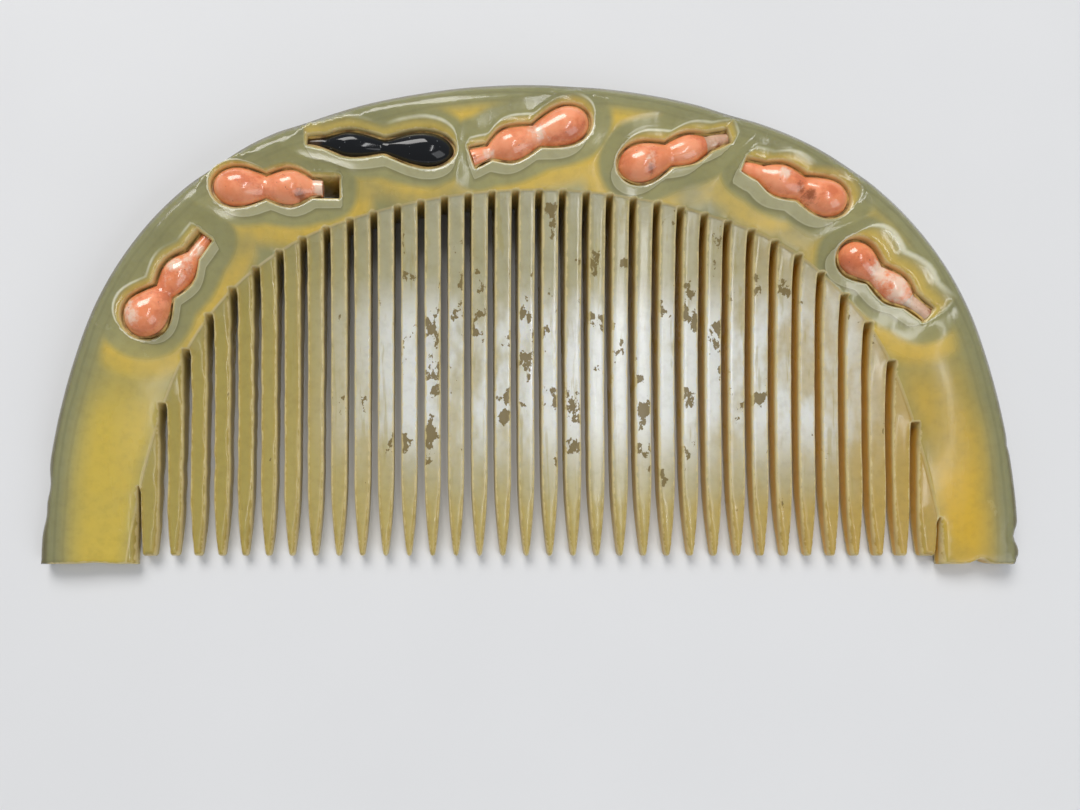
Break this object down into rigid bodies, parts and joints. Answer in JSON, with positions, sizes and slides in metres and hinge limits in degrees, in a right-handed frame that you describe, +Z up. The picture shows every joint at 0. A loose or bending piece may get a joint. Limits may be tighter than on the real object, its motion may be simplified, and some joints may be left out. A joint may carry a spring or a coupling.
{
  "type": "half-moon dressing comb",
  "caption": "Half-moon horn dressing comb with fine sawn teeth, wide end guards and gourd-shaped coral and black inlays let into its curved spine.",
  "frame": {"origin": "bottom centre of the bounding box, on the face that the comb lies on", "axes": "+X along the comb's width, +Y from the tooth tips to the crown of the spine, +Z up through its thickness"},
  "size_m": [0.104, 0.0514, 0.0072],
  "materials": {
    "horn": "polished translucent horn, worn and flaked over the teeth",
    "coral": "polished coral with paler patches and small pits",
    "pale_coral": "polished pale coral",
    "black_glaze": "high gloss black",
    "old_glue": "aged brown glue line"
  },
  "bodies": {
    "root": {"spine": "horn", "tooth_01": "horn", "tooth_02": "horn", "tooth_03": "horn", "tooth_04": "horn", "tooth_05": "horn", "tooth_06": "horn", "tooth_07": "horn", "tooth_08": "horn", "tooth_09": "horn", "tooth_10": "horn", "tooth_11": "horn", "tooth_12": "horn", "tooth_13": "horn", "tooth_14": "horn", "tooth_15": "horn", "tooth_16": "horn", "tooth_17": "horn", "tooth_18": "horn", "tooth_19": "horn", "tooth_20": "horn", "tooth_21": "horn", "tooth_22": "horn", "tooth_23": "horn", "tooth_24": "horn", "tooth_25": "horn", "tooth_26": "horn", "tooth_27": "horn", "tooth_28": "horn", "tooth_29": "horn", "tooth_30": "horn", "tooth_31": "horn", "tooth_32": "horn", "tooth_33": "horn", "tooth_34": "horn", "coral_left_gourd": "coral", "glue_left": "old_glue", "coral_upper_left_gourd": "coral", "glue_upper_left": "old_glue", "black_gourd": "black_glaze", "glue_black": "old_glue", "coral_top_gourd": "coral", "glue_top": "old_glue", "coral_upper_right_gourd": "coral", "glue_upper_right": "old_glue", "coral_right_gourd": "coral", "glue_right": "old_glue", "coral_lower_right_gourd": "coral", "glue_lower_right": "old_glue", "stem_upper_right": "pale_coral", "stem_lower_right": "pale_coral"}
  },
  "joints": []
}
